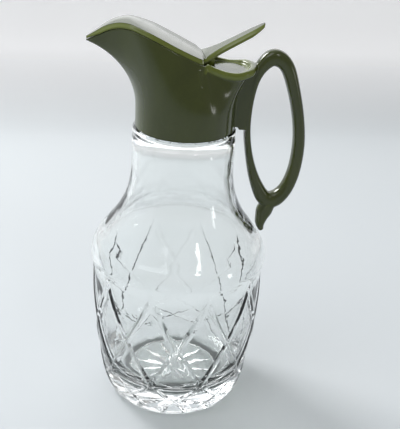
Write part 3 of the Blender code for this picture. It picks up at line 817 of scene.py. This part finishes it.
def make_knuckle():
    """Makes the knuckle: a barrel with the pin's bore, and the neck up to the lid."""
    count = 72
    turn = np.radians(np.arange(count) * 360.0 / count)
    bore = np.column_stack([PIN_HOLE_RADIUS * np.cos(turn), PIN_HOLE_RADIUS * np.sin(turn)])
    outer = np.column_stack([KNUCKLE_RADIUS * np.cos(turn), KNUCKLE_RADIUS * np.sin(turn)])
    upper = outer[:, 1] > 0
    reach = 4.0
    outer[upper, 0] = KNUCKLE_RADIUS * np.clip(1.6 * np.cos(turn[upper]), -1.0, 1.0)
    outer[upper, 1] = reach * np.clip(1.3 * np.sin(turn[upper]), 0.0, 1.0)
    rings = []
    for y, outline in ((-1, bore), (-1, outer), (1, outer), (1, bore)):
        rings.append(np.array([(HINGE_X_MM + u, y * KNUCKLE_HALF_WIDTH, HINGE_Z_MM + w)
                               for u, w in outline]))
    return loft("knuckle", rings, closed=True)


def make_lid():
    """Makes the lid with its thumb lever and hinge knuckle."""
    rings = [lid_ring(x, max(half_width, LID_LEAST_HALF_WIDTH)) for x, half_width in lid_stations()]
    first, last = rings[0], rings[-1]
    nose = first.mean(axis=0) + (first - first.mean(axis=0)) * (1, 0.3, 0.4) - (0.10, 0, 0)
    tail = last.mean(axis=0) + (last - last.mean(axis=0)) * (1, 0.5, 0.5) + (0.10, 0, 0)
    lid = loft("lid_and_lever", [nose] + rings + [tail])
    knuckle = make_knuckle()
    apply_modifier(lid, "BOOLEAN", operation="UNION", object=knuckle)
    bpy.data.objects.remove(knuckle)
    # Painted highlight: the lid's slanted edge is painted a paler olive.
    set_painted_highlight(lid, lid_edge_painted_highlight)
    shade(lid, 40)
    return lid


def make_pin():
    """Makes the wire pin with chamfered ends."""
    radius = (PIN_HIGH[2] - PIN_LOW[2]) / 2
    sides = 48
    turn = np.radians(np.arange(sides) * 360.0 / sides)
    rings = []
    ends = ((PIN_LOW[1], 0.72), (PIN_LOW[1] + 0.28, 1.0),
            (PIN_HIGH[1] - 0.28, 1.0), (PIN_HIGH[1], 0.72))
    for y, share in ends:
        rings.append(np.column_stack([HINGE_X_MM + share * radius * np.cos(turn), np.full(sides, y),
                                      HINGE_Z_MM + share * radius * np.sin(turn)]))
    pin = loft("hinge_wire", rings)
    shade(pin, 30)
    return pin


def make_seal():
    """Makes the sealing ring with rounded edges."""
    outer = (SEAL_HIGH[0] - SEAL_LOW[0]) / 2
    section = rounded_box_section((15.3, SEAL_LOW[2]), (outer, SEAL_HIGH[2]), 0.25)
    seal = turned_ring("seal_gasket", section, 144)
    shade(seal, 50)
    return seal


# ---------------------------------------------------------------- materials

class Recipe:
    """A material's node tree, built up node by node around one Principled shader."""

    def __init__(self, name):
        self.material = bpy.data.materials.new(name)
        self.material.use_nodes = True
        self.tree = self.material.node_tree
        self.shader = self.tree.nodes["Principled BSDF"]
        self.place = self.node("ShaderNodeTexCoord").outputs["Object"]

    def node(self, kind, **inputs):
        """Adds a node. Inputs are sockets or values, by name with _ for a space."""
        made = self.tree.nodes.new(kind)
        for key, value in inputs.items():
            self.feed(made, key.replace("_", " "), value)
        return made

    def feed(self, node, socket, value):
        """Links a socket or sets its value."""
        if isinstance(value, bpy.types.NodeSocket):
            self.tree.links.new(value, node.inputs[socket])
        else:
            node.inputs[socket].default_value = value

    def noise(self, size, detail=3.0, roughness=0.5, squeeze=(1.0, 1.0, 1.0)):
        """Returns noise whose features are about size millimetres across."""
        mapping = self.node("ShaderNodeMapping", Vector=self.place, Scale=squeeze)
        return self.node("ShaderNodeTexNoise", Vector=mapping.outputs[0], Scale=1.0 / (size * MM),
                         Detail=detail, Roughness=roughness).outputs["Fac"]

    def ramp(self, source, low, high, low_value, high_value):
        """Maps a value from low..high to low_value..high_value."""
        return self.node("ShaderNodeMapRange", Value=source, From_Min=low, From_Max=high,
                         To_Min=low_value, To_Max=high_value).outputs["Result"]

    def mix(self, factor, first, second):
        """Mixes two colours."""
        made = self.tree.nodes.new("ShaderNodeMix")
        made.data_type = "RGBA"
        self.feed(made, 0, factor)
        for index, colour in ((6, first), (7, second)):
            linked = isinstance(colour, bpy.types.NodeSocket)
            self.feed(made, index, colour if linked else (*colour, 1.0))
        return made.outputs[2]

    def bump(self, height, distance, strength=1.0, below=None):
        """Adds a bump of the given depth in millimetres to what is below it."""
        made = self.node("ShaderNodeBump", Height=height, Strength=strength, Distance=distance * MM)
        if below is not None:
            self.feed(made, "Normal", below)
        return made.outputs["Normal"]

    def pass_lamplight(self, tint):
        """Lets tinted lamplight through the surface, so that its shadow is softer."""
        clear = self.node("ShaderNodeBsdfTransparent", Color=(*tint, 1.0))
        both = self.node("ShaderNodeMixShader")
        self.feed(both, 0, self.node("ShaderNodeLightPath").outputs["Is Shadow Ray"])
        self.tree.links.new(self.shader.outputs[0], both.inputs[1])
        self.tree.links.new(clear.outputs[0], both.inputs[2])
        self.tree.links.new(both.outputs[0], self.tree.nodes["Material Output"].inputs["Surface"])
        return self.material

    def surface(self, **inputs):
        """Sets or links the shader's inputs by name."""
        for key, value in inputs.items():
            self.feed(self.shader, key.replace("_", " "), value)
        return self.material


def glass_material():
    """Clear soda glass with a faint green tint and a slightly wavy pressed skin."""
    recipe = Recipe("clear_glass")
    clouds = recipe.noise(18.0)
    share = recipe.ramp(clouds, 0.35, 0.65, 0.0, 1.0)
    tint = recipe.mix(share, (0.965, 0.98, 0.972), (0.98, 0.99, 0.985))
    rough = recipe.ramp(recipe.noise(6.0, 4.0), 0.4, 0.8, 0.0, 0.035)
    skin = recipe.bump(recipe.noise(7.0, 2.0), 0.10)
    skin = recipe.bump(recipe.noise(1.4, 2.0), 0.006, below=skin)
    recipe.surface(Base_Color=tint, Roughness=rough, Normal=skin, Transmission_Weight=1.0,
                   IOR=1.51)
    return recipe.pass_lamplight((0.42, 0.44, 0.43))


def plastic_material():
    """Glossy olive plastic, coloured through, with flow clouds, a faint orange peel and a painted
    highlight in paler olive on the lid's slanted edge and the rim's bead.
    """
    recipe = Recipe("olive_plastic")
    clouds = recipe.noise(14.0, 4.0, squeeze=(1.0, 1.0, 0.45))
    share = recipe.ramp(clouds, 0.3, 0.7, 0.0, 1.0)
    colour = recipe.mix(share, (0.036, 0.046, 0.006), (0.047, 0.059, 0.008))
    grain = recipe.noise(0.5, 3.0)
    colour = recipe.mix(recipe.ramp(grain, 0.55, 0.8, 0.0, 0.25), colour, (0.075, 0.09, 0.022))
    # Painted highlight: a paler olive on the lid's slanted edge and the rim's bead, where light from above
    # catches them.
    edges = recipe.node("ShaderNodeAttribute")
    edges.attribute_name = "painted_highlight"
    colour = recipe.mix(edges.outputs["Fac"], colour, (0.115, 0.142, 0.016))
    rough = recipe.ramp(recipe.noise(5.0, 5.0), 0.3, 0.7, 0.13, 0.22)
    skin = recipe.bump(recipe.noise(2.2, 2.0), 0.012)
    skin = recipe.bump(grain, 0.002, below=skin)
    return recipe.surface(Base_Color=colour, Roughness=rough, Normal=skin, IOR=1.54)


def steel_material():
    """Drawn steel wire with fine lines along its length."""
    recipe = Recipe("pin_steel")
    lines = recipe.noise(0.5, 4.0, squeeze=(1.0, 0.05, 1.0))
    colour = recipe.mix(lines, (0.46, 0.46, 0.45), (0.66, 0.66, 0.64))
    rough = recipe.ramp(lines, 0.3, 0.7, 0.22, 0.42)
    return recipe.surface(Base_Color=colour, Roughness=rough, Metallic=1.0,
                          Normal=recipe.bump(lines, 0.01))


def seal_material():
    """Soft off-white sealing plastic."""
    recipe = Recipe("seal_plastic")
    clouds = recipe.noise(4.0, 4.0)
    colour = recipe.mix(clouds, (0.60, 0.57, 0.47), (0.74, 0.71, 0.61))
    rough = recipe.ramp(clouds, 0.3, 0.7, 0.5, 0.7)
    skin = recipe.bump(recipe.noise(0.6), 0.02)
    return recipe.surface(Base_Color=colour, Roughness=rough, Normal=skin)


def stage_material(name, floor_colour, wall_colour):
    """Pale matt paper. It turns from the floor's colour to the backdrop's, which glows a little."""
    recipe = Recipe(name)
    clouds = recipe.noise(60.0, 3.0)
    height = recipe.node("ShaderNodeSeparateXYZ", Vector=recipe.place).outputs["Z"]
    sheet = recipe.mix(recipe.ramp(height, 0.0, 0.05, 0.0, 1.0), floor_colour, wall_colour)
    glow = recipe.ramp(height, 0.0, 0.05, 0.0, 0.20)
    colour = recipe.mix(recipe.ramp(clouds, 0.3, 0.7, 0.0, 0.06), sheet, (0.6, 0.6, 0.6))
    return recipe.surface(Base_Color=colour, Roughness=0.75, Emission_Strength=glow,
                          Emission_Color=(1.0, 1.0, 1.0, 1.0))


def dress(thing, material, body, slot, *nodes):
    """Gives a piece its material and body, and puts it in place of its CAD node."""
    thing.data.materials.clear()
    thing.data.materials.append(material)
    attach(thing, body)
    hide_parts(*nodes)


# ---------------------------------------------------------------- stage, light and camera

def make_stage():
    """Makes a pale floor that bends up into a backdrop behind the jug."""
    outline = [(-1.2, 0.0), (STAGE_BEND_START, 0.0)]
    for angle in np.radians(np.arange(6, 91, 6)):
        outline.append((STAGE_BEND_START + STAGE_BEND * math.sin(angle),
                        STAGE_BEND - STAGE_BEND * math.cos(angle)))
    outline.append((STAGE_BEND_START + STAGE_BEND, STAGE_HEIGHT))
    rings = np.array([[(x, y, z) for y, z in outline] for x in (-1.6, 1.6)])
    count = len(outline)
    faces = [(i, i + 1, count + i + 1, count + i) for i in range(count - 1)]
    floor = make_object("backdrop_paper", rings.reshape(-1, 3), faces, scale=1.0)
    shade(floor)
    paper = stage_material("backdrop_paper", (0.545, 0.575, 0.59), (0.90, 0.90, 0.915))
    floor.data.materials.append(paper)


def area_light(name, place, target, size, power, colour):
    """Adds a soft rectangular lamp that faces a point."""
    data = bpy.data.lights.new(name, "AREA")
    data.shape = "RECTANGLE"
    data.size, data.size_y = size
    data.energy = power
    data.color = colour
    lamp = bpy.data.objects.new(name, data)
    lamp.location = place
    aim = Matrix.Translation(place).inverted() @ Matrix.Translation(target)
    lamp.rotation_mode = "QUATERNION"
    lamp.rotation_quaternion = aim.translation.to_track_quat("-Z", "Y")
    bpy.context.scene.collection.objects.link(lamp)


def make_room():
    """Surrounds the stage with a room that is bright at the back left and dim elsewhere."""
    world = bpy.data.worlds.new("room")
    world.use_nodes = True
    nodes = world.node_tree.nodes
    links = world.node_tree.links
    towards = nodes.new("ShaderNodeVectorMath")
    towards.operation = "DOT_PRODUCT"
    towards.inputs[1].default_value = BRIGHT_SIDE
    links.new(nodes.new("ShaderNodeTexCoord").outputs["Generated"], towards.inputs[0])
    share = nodes.new("ShaderNodeMapRange")
    share.interpolation_type = "SMOOTHSTEP"
    share.inputs["From Min"].default_value = -0.10
    share.inputs["From Max"].default_value = 0.85
    links.new(towards.outputs["Value"], share.inputs["Value"])
    colour = nodes.new("ShaderNodeMix")
    colour.data_type = "RGBA"
    colour.inputs[6].default_value = (0.33, 0.325, 0.31, 1.0)
    colour.inputs[7].default_value = (0.86, 0.90, 0.96, 1.0)
    links.new(share.outputs["Result"], colour.inputs[0])
    links.new(colour.outputs[2], nodes["Background"].inputs["Color"])
    bpy.context.scene.world = world


def make_lights():
    """Lights the jug softly from behind and above, with windows behind it and on the right.
    A row is a lamp's name, place, the point it faces, size, watts and colour."""
    white, cool, plain = (1.0, 0.99, 0.98), (0.97, 0.98, 1.0), (1.0, 1.0, 1.0)
    axis_at = {z: (0.0, 0.0, z) for z in (0.05, 0.07, 0.09, 0.12, 0.15)}
    lamps = (
        ("back_softbox", (0.10, 1.45, 1.10), axis_at[0.12], (3.0, 0.8), 7.0, white),
        ("back_strip", (0.55, 1.45, 0.44), axis_at[0.15], (2.6, 0.45), 3.4, white),
        ("window_back", (-0.80, 0.85, 0.95), axis_at[0.05], (0.5, 0.5), 17.0, plain),
        ("ceiling", (-0.60, -0.50, 1.40), (0.0, 0.20, 0.0), (0.9, 0.9), 4.4, cool),
        ("window_right", (0.33, -0.67, 0.76), axis_at[0.09], (0.09, 0.22), 0.6, plain),
        ("window_low", (0.88, -0.47, 0.16), axis_at[0.07], (0.10, 0.20), 0.35, plain),
    )
    for lamp in lamps:
        area_light(*lamp)


def make_camera():
    """Sets the camera at the height and turn the jug is looked at from."""
    data = bpy.data.cameras.new("camera")
    data.lens = CAMERA_LENS
    data.clip_start = 0.01
    camera = bpy.data.objects.new("camera", data)
    heading = Matrix.Rotation(math.radians(CAMERA_HEADING), 3, "Z")
    tilt = Matrix.Rotation(math.radians(90.0 - CAMERA_PITCH), 3, "X")
    roll = Matrix.Rotation(math.radians(CAMERA_ROLL), 3, "Z")
    turn = heading @ tilt @ roll
    camera.matrix_world = Matrix.Translation(CAMERA_PLACE) @ turn.to_4x4()
    bpy.context.scene.collection.objects.link(camera)
    bpy.context.scene.camera = camera


def main():
    """Builds every piece, the stage, the lights and the camera."""
    plastic = plastic_material()
    dress(make_glass(), glass_material(), "jar", "clear_glass", "glass_jar")
    dress(make_top(), plastic, "top", "olive_plastic", "pouring_top")
    dress(make_lid(), plastic, "flap", "olive_plastic", "lid")
    dress(make_pin(), steel_material(), "top", "pin_steel", "hinge_pin")
    dress(make_seal(), seal_material(), "seal", "seal_plastic", "sealing_ring")
    make_stage()
    make_room()
    make_lights()
    make_camera()
    bpy.context.scene.view_settings.view_transform = "Standard"


main()
